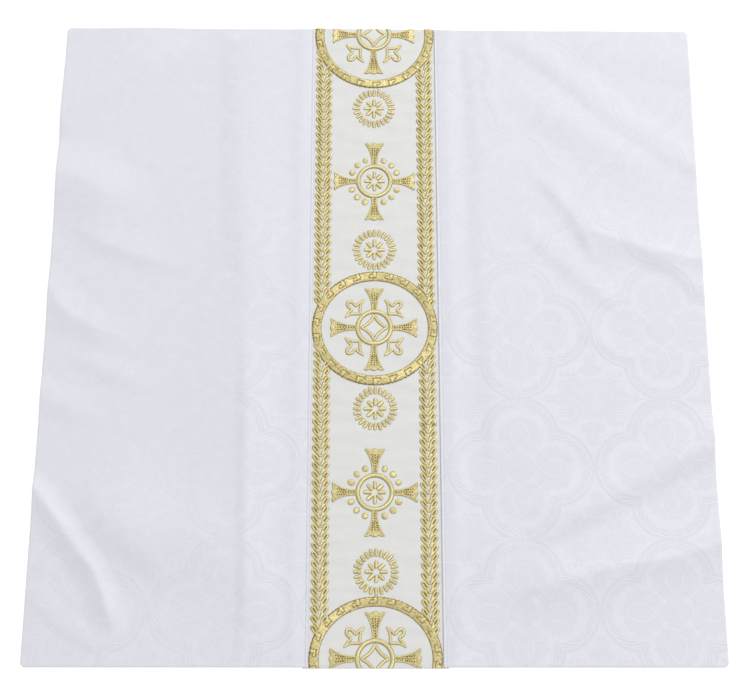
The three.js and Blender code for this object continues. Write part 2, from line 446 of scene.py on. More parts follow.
class Stitching:
    """Closed shells of thread, collected as whole arrays and joined into one piece.

    Every shell stands on a grid of rows along the stitching and columns across it.
    """

    def __init__(self):
        self.points = []
        self.faces = {}
        self.thread = []
        self.crest = []
        self.placed = 0

    def add(self, plan, lift, crest, thread, closed=False):
        """plan (shells, rows, columns, 2) is the view from above, lift its height over the cloth."""
        along = np.diff(plan, axis=1)[:, :, :-1]
        across = np.diff(plan, axis=2)[:, :-1]
        turn = (along[..., 0] * across[..., 1] - along[..., 1] * across[..., 0]).sum((1, 2))
        turned = (turn < 0)[:, None, None]
        plan = np.where(turned[..., None], plan[:, :, ::-1], plan)
        thread = np.where(turned[..., None], thread[:, :, ::-1], thread)
        lift = np.where(turned, lift[:, :, ::-1], lift)
        crest = np.where(turned, crest[:, :, ::-1], crest)
        columns = lift.shape[2]
        index = self.placed + np.arange(lift.size).reshape(lift.shape)
        if closed:
            index = np.concatenate([index, index[:, :1]], 1)
        top = np.stack([index[:, :-1, :-1], index[:, 1:, :-1], index[:, 1:, 1:], index[:, :-1, 1:]], -1)
        left = index[:, :, 0]
        right = index[:, :, -1]
        floor = np.stack([left[:, :-1], right[:, :-1], right[:, 1:], left[:, 1:]], -1)
        self.faces.setdefault(4, []).extend([top.reshape(-1, 4), floor.reshape(-1, 4)])
        if not closed:
            ends = [index[:, 0], index[:, -1, ::-1]]
            self.faces.setdefault(columns, []).extend(ends)
        height = BAND_THICKNESS - STITCH_SUNK + lift
        self.points.append(np.concatenate([plan, height[..., None]], -1).reshape(-1, 3))
        self.thread.append(thread.reshape(-1, 2))
        self.crest.append(crest.ravel())
        self.placed += lift.size

    def satin(self, path, half_width, height, columns=7, closed=False, pads=1.0):
        """Rounded columns of satin stitch along paths (shells, rows, 2).

        Across a column the height is that of a half ellipse, height times sqrt(1 - v^2). pads is
        the share of the height at each row.
        """
        if closed:
            tangent = np.roll(path, -1, 1) - np.roll(path, 1, 1)
        else:
            tangent = np.gradient(path, axis=1)
        normal = quarter_turned(tangent)
        half_width = np.broadcast_to(half_width, path.shape[:2])
        pads = np.broadcast_to(pads, path.shape[1])[None, :, None]
        v = np.sin(np.linspace(-math.pi / 2, math.pi / 2, columns))
        plan = path[:, :, None] + normal[:, :, None] * (half_width[..., None] * v)[..., None]
        fullness = np.sqrt(half_width / half_width.max())[..., None]
        lift = height * fullness * pads * np.sqrt(1.0 - v**2)
        # crest paints a highlight along the middle of a column and on its pads, and paints shade towards
        # its edges and between pads
        crest = np.clip((1.0 - np.abs(v) ** 2.5) * (1.6 * pads - 0.6), 0.0, 1.0)
        crest = np.broadcast_to(crest, lift.shape)
        self.add(plan, lift, crest, self.run_of(path, half_width, v), closed)

    def run_of(self, path, half_width, v):
        """Thread map: millimetres walked along the path, and millimetres from its middle."""
        steps = np.linalg.norm(np.diff(path, axis=1, prepend=path[:, :1]), axis=2)
        walked = np.cumsum(steps, 1) + 7.3 * np.arange(len(path))[:, None]
        across = half_width[..., None] * v
        return np.stack([np.broadcast_to(walked[..., None], across.shape), across], -1)

    def piece(self, name, material):
        """The joined shells as one object, cut off square where the band ends."""
        faces = [np.concatenate(f) for f in self.faces.values()]
        points = np.concatenate(self.points)
        thread = np.concatenate(self.thread)
        crest = np.concatenate(self.crest)
        made = make_piece(name, points, faces, material, thread, crest)
        reach = BAND_HALF_LENGTH - CUT_SHORT
        for sign in (-1, 1):
            if (points[:, 1] * sign).max() > reach:
                cut_square(made, sign, reach)
        return made


def cut_square(piece, sign, reach):
    """Cuts a piece off at y = sign times reach and closes each cut with a flat face."""
    work = bmesh.new()
    work.from_mesh(piece.data)
    found = bmesh.ops.bisect_plane(
        work,
        geom=work.verts[:] + work.edges[:] + work.faces[:],
        plane_co=(0.0, sign * reach * MM, 0.0),
        plane_no=(0.0, float(sign), 0.0),
        clear_outer=True,
    )
    cut = [e for e in found["geom_cut"] if isinstance(e, bmesh.types.BMEdge) and e.is_boundary]
    bmesh.ops.holes_fill(work, edges=cut, sides=0)
    work.to_mesh(piece.data)
    work.free()
    piece.data.polygons.foreach_set("use_smooth", np.ones(len(piece.data.polygons), bool))


def rounded(count, power=5.0):
    """Even-angled steps along a stroke and its half width there: sqrt(1 - |2t - 1|^power)."""
    t = (1.0 - np.cos(np.linspace(0.0, math.pi, count))) / 2
    return t, np.sqrt(np.maximum(0.02, 1.0 - np.abs(2 * t - 1) ** power))


def turned(points, angle):
    """Points turned about the origin by an angle in radians."""
    c, s = math.cos(angle), math.sin(angle)
    return np.stack([points[..., 0] * c - points[..., 1] * s, points[..., 0] * s + points[..., 1] * c], -1)


def spokes(stitching, middle, angles, inner, outer, half_width, height, seed, sway=0.0, humps=0.0):
    """Padded strokes that point away from a middle, each a little off true.

    With humps the height along a stroke is that of two pads, 1 - humps cos(4 pi t) / 2.
    """
    draw = np.random.default_rng(seed)
    angles = np.asarray(angles, float)
    t, width = rounded(11)
    spread = draw.normal(0.0, 1.0, (4, len(angles)))
    start = inner + 0.2 * spread[0]
    reach = (outer - inner) + 0.25 * spread[1]
    turn = sway * spread[2]
    local = np.stack([start[:, None] + reach[:, None] * t, np.zeros((len(angles), len(t)))], -1)
    pivot = np.stack([(inner + outer) / 2 + 0 * angles, 0 * angles], -1)[:, None]
    offset = local - pivot
    c, s = np.cos(turn)[:, None], np.sin(turn)[:, None]
    swung = (offset[..., 0] * c - offset[..., 1] * s, offset[..., 0] * s + offset[..., 1] * c)
    local = pivot + np.stack(swung, -1)
    c, s = np.cos(angles)[:, None], np.sin(angles)[:, None]
    laid = (local[..., 0] * c - local[..., 1] * s, local[..., 0] * s + local[..., 1] * c)
    path = np.stack(laid, -1) + np.array(middle)
    widths = half_width * (1 + 0.05 * spread[3])[:, None] * width
    pads = 1.0 - humps * (0.5 + 0.5 * np.cos(4 * math.pi * t))
    stitching.satin(path, widths, height, pads=pads)


def flower(stitching, middle, seed, sway):
    """Eight padded petals round a middle."""
    petals = np.radians(np.arange(8) * 45.0)
    spokes(stitching, middle, petals, 2.7, 10.1, 1.84, 0.85, seed, sway)


def cross_arm(stitching, middle, angle, tip):
    """One arm of a cross: a flared field between two satin edges, pricked with needle holes.

    The half width grows from 2.6 at the ring as 2.6 + 7.5 t^2.5. The end is nearly straight, with
    a round bump in its middle and a dip to each side. Holes lie in one row, then in three.
    """
    rows, columns = 54, 33
    v = np.linspace(-1.0, 1.0, columns)[None]
    u = np.linspace(0.0, 1.0, rows)[:, None]
    aside = np.abs(v)
    end = tip - 1.3 * bell(aside, 0.4, 0.17)
    end = end - 0.4 * smooth_step(aside, 0.5, 0.8) - 0.9 * aside**14
    p = ARM_START + (end - ARM_START) * u
    t = np.clip((p - ARM_START) / (tip - ARM_START), 0.0, 1.0)
    half = 2.6 + 7.5 * t**2.5
    q = half * v
    inside = half * (1.0 - aside)
    beyond = end - p
    rail = np.sqrt(np.clip(1.0 - ((inside - 0.75) / 0.75) ** 2, 0.0, 1.0))
    wide_part = smooth_step(p, ARM_START + 9.0, ARM_START + 10.0) * smooth_step(tip - 2.2 - p, 0.0, 1.0)
    holes = np.zeros_like(p)
    lanes = ((0.0, 2.4, 0.0, 1.0), (-0.42, 2.0, 0.5, wide_part), (0.42, 2.0, 0.5, wide_part))
    for lane, step, shift, share in lanes:
        phase = np.mod(p - ARM_START - 1.0 + shift * step, step) - step / 2
        reach = smooth_step(tip - 4.4 - p, 0.0, 1.0)
        hole = np.exp(-((phase / 0.6) ** 2) - (((q - lane * half) / 0.55) ** 2))
        holes = np.maximum(holes, hole * reach * share)
    ribs = 0.5 + 0.5 * np.cos(2 * math.pi * (p - ARM_START) / 2.0)
    knob = np.sqrt(np.clip(1.0 - ((p - tip + 2.0) ** 2 + q**2) / 2.0**2, 0.0, 1.0))
    lift = np.where(inside < 1.5, rail, 0.74 + 0.10 * ribs)
    lift = np.maximum(np.maximum(lift - 0.7 * holes, 0.0), 1.1 * knob)
    near_end = np.sqrt(np.clip(1.0 - (1.0 - np.clip(beyond / 0.8, 0.0, 1.0)) ** 2, 0.0, 1.0))
    lift = lift * near_end * np.clip(u * rows, 0.0, 1.0) * (aside < 1.0)
    seam = 0.5 * bell(inside, 1.5, 0.25) * (half > 3.0)
    draw = np.random.default_rng(int(1000 * tip + 10 * angle))
    mottled = np.repeat(draw.normal(0.0, 0.14, (rows // 2, columns)), 2, 0)
    # crest paints highlight on the rails, ribs and knob, and paints shade in the needle holes and along
    # the seam between rail and field; mottled is random tone
    crest = np.where(inside < 1.5, rail, 0.66 + 0.22 * ribs) + mottled - 1.25 * holes - seam
    crest = np.clip(np.maximum(crest, 1.1 * knob) * near_end, 0.0, 1.0)
    place = np.stack([p, np.broadcast_to(q, p.shape)], -1)
    stitching.add((turned(place, angle) + np.array(middle))[None], lift[None], crest[None], place[None])


def centre_ring(stitching, middle):
    """The ring at the crossing of the arms: one satin column round a circle."""
    angle = np.linspace(0.0, 2 * math.pi, 96, endpoint=False)
    circle = CENTRE_RING_RADIUS * np.stack([np.cos(angle), np.sin(angle)], -1)
    stitching.satin((circle + np.array(middle))[None], CENTRE_RING_STROKE / 2, 1.25, 9, closed=True)


def four_arms(stitching, middle, tips):
    """Arms to the right, far end, left and near end."""
    for quarter, tip in enumerate(tips):
        cross_arm(stitching, middle, quarter * math.pi / 2, tip)


def hollow_star(stitching, middle):
    """A four-pointed star of thin satin strokes: parabolas that sag towards the middle."""
    t = np.linspace(0.0, 1.0, 17)[:, None]
    start, bend, end = np.array([0.0, 12.3]), np.array([3.3, 3.3]), np.array([12.3, 0.0])
    side = (1 - t) ** 2 * start + 2 * t * (1 - t) * bend + t**2 * end
    width = 0.65 + 0.85 * np.sqrt(np.clip(1.0 - np.abs(2 * t[:, 0] - 1) ** 6, 0.0, 1.0))
    paths = np.stack([turned(side, quarter * math.pi / 2) for quarter in range(4)])
    stitching.satin(paths + np.array(middle), width, 0.85)


def tulips(stitching, middle, stretch):
    """Tulip outlines on the four diagonals, in satin strokes with pointed tips.

    Points are (out along the diagonal, aside): two sides from the foot to the leaf tips, two
    edges back from the tips, and the bud between them. All are stretched along the band.
    """
    side = curve_through(
        ((18.3, 0.0), (20.3, 2.0), (22.4, 4.2), (24.1, 6.7), (25.0, 9.4), (25.3, 12.0)), 16)
    back = curve_through(((25.3, 12.0), (26.0, 8.3), (26.2, 5.0), (26.2, 2.2)), 12)
    half_bud = ((26.3, 2.5), (28.3, 2.5), (30.5, 2.8), (32.4, 2.1), (33.5, 1.0))
    bud = curve_through((*half_bud, (33.9, 0.0), *((p, -q) for p, q in half_bud[::-1])), 34)
    flip = np.array([1.0, -1.0])
    for quarter in range(4):
        angle = math.pi / 4 + quarter * math.pi / 2
        for stroke, first, last in ((side, 1.35, 0.8), (back, 0.8, 1.3)):
            t = np.linspace(0.0, 1.0, len(stroke))
            swell = first + (last - first) * t + 0.22 * np.sin(math.pi * t)
            for shape in (stroke, stroke * flip):
                path = turned(shape, angle) * (1.0, stretch) + np.array(middle)
                stitching.satin(path[None], swell[None], 0.85)
        swell = 1.2 + 0.38 * np.sin(math.pi * np.linspace(0.0, 1.0, len(bud)))
        path = turned(bud, angle) * (1.0, stretch) + np.array(middle)
        stitching.satin(path[None], swell[None], 0.95)


def key_grooves(s, w):
    """How deep a needle line of the key pattern lies at s along one repeat, w from the inner edge.

    Each line is a straight stretch; the depth is the bell exp(-(distance / 0.36)^2).
    """
    lines = (
        ((0.6, 2.9), (7.4, 2.9)),
        ((7.4, 2.9), (7.4, 8.9)),
        ((0.6, 2.9), (0.6, 4.8)),
        ((3.7, 7.3), (4.1, 7.9)),
        ((1.6, 6.0), (3.6, 6.0)),
    )
    depth = np.zeros_like(s)
    for (s0, w0), (s1, w1) in lines:
        length = (s1 - s0) ** 2 + (w1 - w0) ** 2
        t = np.clip(((s - s0) * (s1 - s0) + (w - w0) * (w1 - w0)) / length, 0.0, 1.0)
        distance = np.hypot(s - s0 - t * (s1 - s0), w - w0 - t * (w1 - w0))
        depth = np.maximum(depth, bell(distance, 0.0, 0.36))
    return depth


def medallion_ring(stitching, medallion, seed):
    """The broad oval ring: a padded band with a key pattern of needle lines and raised blocks.

    A point is the middle plus (a cos, b sin) of its angle, where a and b grow from the inner
    half axes by the width. The outer edge is stitched a little ragged.
    """
    draw = np.random.default_rng(seed)
    rows, columns = 720, 25
    angle = np.linspace(0.0, 2 * math.pi, rows, endpoint=False)[:, None]
    w = np.concatenate([[0.0, 0.12, 0.4], np.linspace(0.75, 8.8, columns - 5), [9.1, RING_DEEPEST]])[None]
    ragged = 0.22 * np.sin(angle * 131) + 0.18 * np.sin(angle * 83 + 1.0)
    share = w / w.max()
    reach = share + np.maximum(share - 0.9, 0.0) * 10 * ragged / w.max()
    plan = np.stack([
        (RING_INNER + RING_WIDTH * reach) * np.cos(angle),
        (medallion.inner_tall + medallion.width_tall * reach) * np.sin(angle)], -1)
    turn = 2 * math.pi / KEY_COUNT
    along = np.mod(-angle + math.pi / 2 + 0.12, turn) / turn * KEY_LENGTH
    s = np.broadcast_to(along, (rows, w.shape[1]))
    width = np.broadcast_to(w, s.shape)
    grooves = key_grooves(s, width)
    body = np.sqrt(np.clip(1.0 - (np.abs(width - 4.65) / 4.65) ** 5, 0.0, 1.0))
    block = np.exp(-(((s - 5.8) / 1.1) ** 4)) * np.exp(-(((width - 6.0) / 2.2) ** 4))
    prick = (0.5 + 0.5 * np.sin(angle * 262)) * bell(width, 8.5, 0.45)
    lift = 1.0 * body + 0.4 * block - 0.5 * grooves - 0.3 * prick
    lift = np.maximum(lift, 0.05) * (width > 0) * (width < w.max())
    mottled = draw.normal(0.0, 0.16, (rows // 3, columns // 2 + 1))
    mottled = np.repeat(np.repeat(mottled, 3, 0), 2, 1)[:, :columns]
    # crest paints highlight on the padded body and raised blocks and paints shade in the needle lines and
    # pricks; the next line paints shade towards both edges; mottled is random tone
    crest = 0.16 + 0.56 * body + 0.5 * block + mottled - 0.66 * grooves - 0.5 * prick
    crest = crest - 0.25 * smooth_step(width, 7.9, 9.2) - 0.2 * smooth_step(-width, -1.0, 0.0)
    thread = np.stack([angle * 53.0 + 0 * width, width], -1)
    plan = plan + np.array([medallion.x, medallion.y])
    stitching.add(plan[None], lift[None], np.clip(crest, 0.0, 1.0)[None], thread[None], closed=True)


def padded_dots(stitching, middle, angles, radius, size, seed):
    """Padded dots round a ring: domes on a disc, the height that of a flattened ball."""
    draw = np.random.default_rng(seed)
    grid = np.sin(np.linspace(-math.pi / 2, math.pi / 2, 9))
    a, b = np.meshgrid(grid, grid, indexing="ij")
    x = a * np.sqrt(1 - b**2 / 2)
    y = b * np.sqrt(1 - a**2 / 2)
    out = np.sqrt(np.clip(1 - x**2 - y**2, 0.0, 1.0))
    for angle in angles:
        wide, tall = size / 2 * (1 + 0.05 * draw.normal(0.0, 1.0, 2))
        disc = turned(np.stack([x * wide, y * tall * 0.94], -1), angle)
        place = np.array(middle) + radius * np.array([math.cos(angle), math.sin(angle)])
        thread = np.stack([x * wide + 11.0 * angle, y * tall], -1)
        # crest paints a highlight on the top of each dome and shade towards its rim, with random tone
        crest = np.clip(out**0.6 + 0.15 * draw.normal(0.0, 1.0, out.shape), 0.0, 1.0)
        stitching.add((disc + place)[None], (1.0 * out)[None], crest[None], thread[None])


def leaf_borders(stitching, seed):
    """Both borders of paired leaves that run along the band, left open where a ring covers them.

    A leaf is a shell on a short, slightly bent path from the border's middle line. Its half
    width swells from 1.0 to 2.5 and rounds off at the blunt head, and across it the height has
    one crown at the tail and two at the head, with the slit of the loop between them. Each run
    between two medallions is counted from its middle, moved by the border's shift.
    """
    draw = np.random.default_rng(seed)
    rows = 15
    t = (1.0 - np.cos(np.linspace(0.0, math.pi, rows))) / 2
    v = np.array([-1.0, -0.93, -0.76, -0.52, -0.3, -0.12, 0.0, 0.12, 0.3, 0.52, 0.76, 0.93, 1.0])
    swell = np.interp(t, (0.0, 0.2, 0.35, 0.5, 0.7, 0.85, 1.0), (1.0, 1.4, 1.9, 2.3, 2.5, 2.45, 2.3))
    swell = swell * np.sqrt(np.maximum(0.04, 1.0 - np.maximum(0.0, (t - 0.81) / 0.19) ** 2.2))
    swell = swell * np.sqrt(np.clip(0.3 + t / 0.1, 0.0, 1.0))
    slit = (smooth_step(t, 0.38, 0.5) * (1 - smooth_step(t, 0.82, 0.9)))[:, None]
    single = np.sqrt(1.0 - v**2)[None]
    double = np.sqrt(np.clip(1.0 - ((np.abs(v) - 0.6) / 0.4) ** 2, 0.0, 1.0))[None]
    crown = single * (1 - slit) + double * slit
    profile = np.maximum(crown, 0.3 * slit + 0.12) * (np.abs(v) < 1)
    heights = (294.6, -0.9, -291.5)
    count = 39
    steps = (np.arange(count) - count // 2) * LEAF_PITCH
    for from_axis, shift in zip(LEAF_BORDER_MIDDLES, LEAF_SHIFTS):
        feet = [(a + b) / 2 + shift + steps for a, b in zip(heights[:-1], heights[1:])]
        for foot, hand in ((feet[0], -1), (feet[0], 1), (feet[1], -1), (feet[1], 1)):
            wobble = draw.normal(0.0, 1.0, (4, count))
            middle_x = from_axis + BAND_LEAN * foot
            reach = 6.5 + 0.12 * wobble[0]
            climb = 10.7 + 0.18 * wobble[1]
            px = middle_x[:, None] + hand * (0.3 + reach[:, None] * (0.86 * t + 0.14 * t**2))
            py = foot[:, None] + climb[:, None] * (1.1 * t - 0.1 * t**2)
            keep = np.abs(py[:, rows // 2] - foot.mean()) < 147
            for ring in MEDALLIONS:
                mx = (px[:, rows // 2] - ring.x) / (RING_INNER + 0.72 * RING_WIDTH)
                my = (py[:, rows // 2] - ring.y) / (ring.inner_tall + 0.72 * ring.width_tall)
                keep &= mx**2 + my**2 > 1.0
            path = np.stack([px, py], -1)[keep]
            normal = quarter_turned(np.gradient(path, axis=1))
            width = swell[None] * (1 + 0.04 * wobble[2][keep])[:, None]
            plan = path[:, :, None] + normal[:, :, None] * (width[..., None] * v)[..., None]
            lift = (0.95 + 0.06 * wobble[3][keep])[:, None, None] * profile[None]
            mottled = 0.16 * draw.normal(0.0, 1.0, (len(path), rows, 1))
            # crest paints highlight on the crowns and shade in the slit and at the edges, with random tone
            crest = np.clip(crown * 1.02 - 0.06 + mottled * crown, 0.0, 1.0)
            stitching.add(plan, lift, crest, stitching.run_of(path, width, v))


def edge_stitches(stitching, side, seed):
    """White machine stitches in the groove beside a folded edge, each a short round thread."""
    draw = np.random.default_rng(seed)
    pitch = 3.0
    length = 2.45
    y = np.arange(-HALF + 2.0, HALF - 3.5, pitch)
    t, width = rounded(6)
    py = y[:, None] + length * t[None]
    off_line = 0.04 * draw.normal(0.0, 1.0, (len(y), 1))
    px = band_axis(py) + side * (BAND_SHOWING / 2 + EDGE_GROOVE.place) + off_line
    stitching.satin(np.stack([px, py], -1), np.broadcast_to(0.22 * width, py.shape), 0.3, 5)


class Wire:
    """A number that changes over the surface. Arithmetic on it adds Math nodes to its tree."""

    def __init__(self, tree, socket):
        self.tree = tree
        self.socket = socket

    def math(self, operation, *others, clamp=False):
        node = self.tree.nodes.new("ShaderNodeMath")
        node.operation = operation
        node.use_clamp = clamp
        for socket, value in zip(node.inputs, (self, *others)):
            if isinstance(value, Wire):
                self.tree.links.new(value.socket, socket)
            else:
                socket.default_value = value
        return Wire(self.tree, node.outputs[0])

    def __add__(self, other):
        return self.math("ADD", other)

    __radd__ = __add__

    def __sub__(self, other):
        return self.math("SUBTRACT", other)

    def __rsub__(self, other):
        return self.math("MULTIPLY_ADD", -1.0, other)

    def __mul__(self, other):
        return self.math("MULTIPLY", other)

    __rmul__ = __mul__

    def __truediv__(self, other):
        return self.math("DIVIDE", other)

    def __pow__(self, other):
        return self.math("POWER", other)

    def __abs__(self):
        return self.math("ABSOLUTE")

    def low(self, other):
        return self.math("MINIMUM", other)

    def high(self, other):
        return self.math("MAXIMUM", other)

    def ramp(self, width):
        """0 below zero and 1 above it, over this width."""
        return self.math("MULTIPLY_ADD", 1.0 / width, 0.5, clamp=True)

    def band(self, low, high, soft=0.35):
        """1 between low and high, 0 outside, with soft edges."""
        return ((high - low) / 2 - abs(self - (high + low) / 2)).ramp(soft)


def length_of(a, b):
    """Distance from the origin of the point (a, b)."""
    return (a * a + b * b).math("SQRT")


def oval(place, middle, half, height):
    """Half ellipse over a line: height sqrt(1 - ((place - middle) / half)^2), 0 beyond it."""
    return (1.0 - ((place - middle) / half) ** 2.0).high(0.0).math("SQRT") * height


def noise(x, y, scale, detail):
    """Soft noise over the place x, y: a wire that wanders about 0.5."""
    tree = x.tree
    place = tree.nodes.new("ShaderNodeCombineXYZ")
    tree.links.new(x.socket, place.inputs[0])
    tree.links.new(y.socket, place.inputs[1])
    node = tree.nodes.new("ShaderNodeTexNoise")
    node.inputs["Scale"].default_value = scale
    node.inputs["Detail"].default_value = detail
    tree.links.new(place.outputs[0], node.inputs["Vector"])
    return Wire(tree, node.outputs["Fac"])


def new_group(name, inputs, outputs):
    """An empty shader node group with float sockets, and its inputs as wires."""
    tree = bpy.data.node_groups.new(name, "ShaderNodeTree")
    for socket, value in inputs.items():
        made = tree.interface.new_socket(name=socket, in_out="INPUT", socket_type="NodeSocketFloat")
        made.default_value = value
    for socket in outputs:
        tree.interface.new_socket(name=socket, in_out="OUTPUT", socket_type="NodeSocketFloat")
    entry = tree.nodes.new("NodeGroupInput")
    leave = tree.nodes.new("NodeGroupOutput")
    return tree, {name: Wire(tree, entry.outputs[name]) for name in inputs}, leave


def damask_figure_group():
    """The damask's figure from the place on the cloth in millimetres, measured from one quatrefoil.

    The repeat is folded to one quarter, and a quatrefoil further to one eighth, so that every
    lobe is drawn once. Tone is 1 in the satin ground and below 0 in the figure.
    """
    tree, given, leave = new_group("damask_figure", {"Across": 0.0, "Along": 0.0}, ("Tone",))
    u = given["Across"].math("PINGPONG", REPEAT[0] / 2)
    v = given["Along"].math("PINGPONG", REPEAT[1] / 2)
    a = u.high(v)
    b = u.low(v)
    lobe_a = a - 30.0
    d = length_of(lobe_a, b)
    turn = b.math("ARCTAN2", lobe_a)

    # Rings round a lobe, with slanting strokes between them and a plain clasp at its outer end
    rings = d.band(24.2, 25.0).high(d.band(31.3, 32.0)) * 1.5
    rings = rings - d.band(22.7, 23.9).high(d.band(32.4, 35.4, 0.6)) * 0.5
    strokes = ((turn * 20.0 + d * 2.1).math("SINE") - 0.4).ramp(0.8)
    clasp = (2.8 - b).ramp(0.5) * lobe_a.ramp(1.0)
    twist = d.band(25.2, 31.1) * (strokes * 1.3 - 0.6)
    bands = (rings + twist) * (1.0 - clasp) + clasp * 0.3

    # The leaf that fills a lobe
    edge = turn.low(1.5) * 2.9 + 14.6
    edge = edge + (turn * 13.33 - 6.98).math("COSINE") * 0.9
    edge = edge + (turn * 9.1).math("PINGPONG", 1.0) * 2.4
    leaf = (edge - d - 0.4).ramp(0.5)
    cell_line = a * 0.865 + b * 0.501 - 13.9
    cell = (0.0 - cell_line).ramp(0.6)
    shield = leaf.high(cell)
    almond_across = (a - 30.3) / 13.6
    almond = (1.0 - almond_across * almond_across) * 7.6 - b
    veins = (0.6 - abs(almond)).ramp(0.5) * a.band(17.0, 43.6, 1.0)
    veins = veins.high((0.55 - abs(cell_line)).ramp(0.5))
    veins = veins.high((1.5 - length_of(a - 9.9, b - 9.0)).ramp(0.7))
    rib = (0.5 - abs(a - b) * 0.7).ramp(0.5) * length_of(a, b).band(14.5, 26.0, 1.0)
    bars = (a * (2 * math.pi / 1.6)).math("COSINE").ramp(1.6) * a.band(19.5, 25.0) * b.band(10.5, 17.0)
    veins = veins.high(rib).high(bars * 0.7)
    in_disc = (1.0 - shield * 1.5).high(veins * 1.3)
    inside = (23.9 - d).ramp(0.4).high(cell)
    tone = in_disc * inside + bands * (1.0 - inside)

    # The star where two quatrefoils meet
    boss_a = abs(a - REPEAT[0] / 2)
    boss = (3.05 - (boss_a + 0.02) ** 0.5 - (b + 0.02) ** 0.5).ramp(0.25)

    # Leaves between the quatrefoils, p across and q along from the middle of the gap
    p = REPEAT[0] / 2 - u
    q = REPEAT[1] / 2 - v
    body = oval(p, 21.0, 14.5, 8.4)
    tip = oval(p, 37.0, 7.2, 3.8)
    arm_edge = body.high(tip) + (p * 0.3).math("PINGPONG", 0.5) * 3.8 - 1.0
    growth = (arm_edge - q).ramp(0.7) * (p - 6.5).ramp(1.0)
    low_leaf = oval(q, 26.5, 5.6, 11.0)
    top_leaf = oval(q, 36.8, 6.8, 6.0)
    leaf_edge = low_leaf.high(top_leaf) + (q * 0.32).math("PINGPONG", 0.5) * 4.0 - 0.9
    growth = growth.high((leaf_edge - p).ramp(0.7) * (q - 20.8).ramp(1.0))
    lump = length_of((p - 15.6) * 1.1, q - 12.6) - ((p + q) * 0.3).math("PINGPONG", 0.5) * 2.6
    growth = growth.high((7.0 - lump).ramp(0.5))
    combs = (q * (2 * math.pi / 2.9) - p * 0.35).math("COSINE").ramp(0.9) * q.band(6.5, 18.0)
    growth = growth.high(combs * p.band(21.5, 29.5, 1.5))
    buds = (p * (2 * math.pi / 5.6) - 17.2).math("COSINE") * 2.0 + 23.2
    growth = growth.high((buds - q).ramp(0.8) * (q - 20.8).ramp(0.6) * p.band(12.5, 29.0))
    lines = q.band(19.5, 20.5) * p.band(5.5, 27.0) * 0.65
    lines = lines.high((0.45 - abs(p - 14.5)).ramp(0.5) * q.band(8.5, 17.5) * 0.7)
    lines = lines.high((0.45 - q).ramp(0.5) * p.band(12.0, 38.0) * 0.55)
    lines = lines.high((0.45 - p).ramp(0.5) * q.band(24.0, 41.0) * 0.55)
    mottle = ((p * 1.7).math("COSINE") * (q * 1.7).math("COSINE")).ramp(0.8) * 0.6 + 0.15
    growth = growth.high(mottle * p.band(-9.5, 9.5) * q.band(-19.0, 19.0))
    between = (1.0 - growth * 1.6).high(lines * 1.3)

    beyond = (d - 35.4).ramp(0.5) * (1.0 - cell)
    tone = tone * (1.0 - beyond) + between * beyond
    tone = tone * (1.0 - boss) - boss * 0.6
    tree.links.new(tone.socket, leave.inputs["Tone"])
    return tree


def weave_grain_group():
    """Grain of a fine satin weave: slubs that run across, and a mottle about a millimetre wide."""
    inputs = {"Across": 0.0, "Along": 0.0, "Slub": 1.0}
    tree, given, leave = new_group("weave_grain", inputs, ("Grain", "Height"))
    slubbed = given["Along"] * given["Slub"]
    fine = noise(given["Across"], slubbed, 0.85, 1.0) - 0.5
    coarse = noise(given["Across"], slubbed, 0.12, 3.0) - 0.5
    yarns = ((given["Across"] + given["Along"] * 0.5) * (2 * math.pi / 0.62)).math("SINE")
    picks = (given["Along"] * (2 * math.pi / 0.48)).math("SINE")
    tree.links.new((fine + coarse * 0.5).socket, leave.inputs["Grain"])
    swell = fine * 1.4 + coarse * 5.0
    tree.links.new((yarns * 0.5 + picks * 0.5 + swell).socket, leave.inputs["Height"])
    return tree


def use_group(material, tree, **values):
    """Places a node group in a material. Values are wires or numbers, by socket name."""
    node = material.node_tree.nodes.new("ShaderNodeGroup")
    node.node_tree = tree
    for name, value in values.items():
        socket = node.inputs[name]
        if isinstance(value, Wire):
            material.node_tree.links.new(value.socket, socket)
        else:
            socket.default_value = value
    return {s.name: Wire(material.node_tree, s) for s in node.outputs}


def new_material(name):
    """A node material with its shader node."""
    material = bpy.data.materials.new(name)
    material.use_nodes = True
    return material, material.node_tree.nodes["Principled BSDF"]


def place_on_cloth(material, middle=(0.0, 0.0)):
    """Object coordinates across and along the cloth, in millimetres from a middle."""
    tree = material.node_tree
    where = tree.nodes.new("ShaderNodeTexCoord")
    parts = tree.nodes.new("ShaderNodeSeparateXYZ")
    tree.links.new(where.outputs["Object"], parts.inputs[0])
    across = Wire(tree, parts.outputs[0]) * (1.0 / MM) - middle[0]
    along = Wire(tree, parts.outputs[1]) * (1.0 / MM) - middle[1]
    return across, along


def thread_map(material):
    """Millimetres along and across the stitches, from a piece's map named thread."""
    tree = material.node_tree
    uv = tree.nodes.new("ShaderNodeUVMap")
    uv.uv_map = "thread"
    parts = tree.nodes.new("ShaderNodeSeparateXYZ")
    tree.links.new(uv.outputs[0], parts.inputs[0])
    return Wire(tree, parts.outputs[0]), Wire(tree, parts.outputs[1])


def mix_colours(material, share, low, high):
    """Colour between two, by a wire from 0 to 1."""
    tree = material.node_tree
    mix = tree.nodes.new("ShaderNodeMix")
    mix.data_type = "RGBA"
    tree.links.new(share.socket, mix.inputs["Factor"])
    for socket, colour in ((mix.inputs["A"], low), (mix.inputs["B"], high)):
        if hasattr(colour, "is_linked"):
            tree.links.new(colour, socket)
        else:
            socket.default_value = (*colour, 1.0)
    return mix.outputs["Result"]


def bump(material, shader, height):
    """Feeds a height in millimetres to the shader's normal."""
    tree = material.node_tree
    node = tree.nodes.new("ShaderNodeBump")
    node.inputs["Strength"].default_value = BUMP_STRENGTH
    node.inputs["Distance"].default_value = MM
    tree.links.new(height.socket, node.inputs["Height"])
    tree.links.new(node.outputs["Normal"], shader.inputs["Normal"])


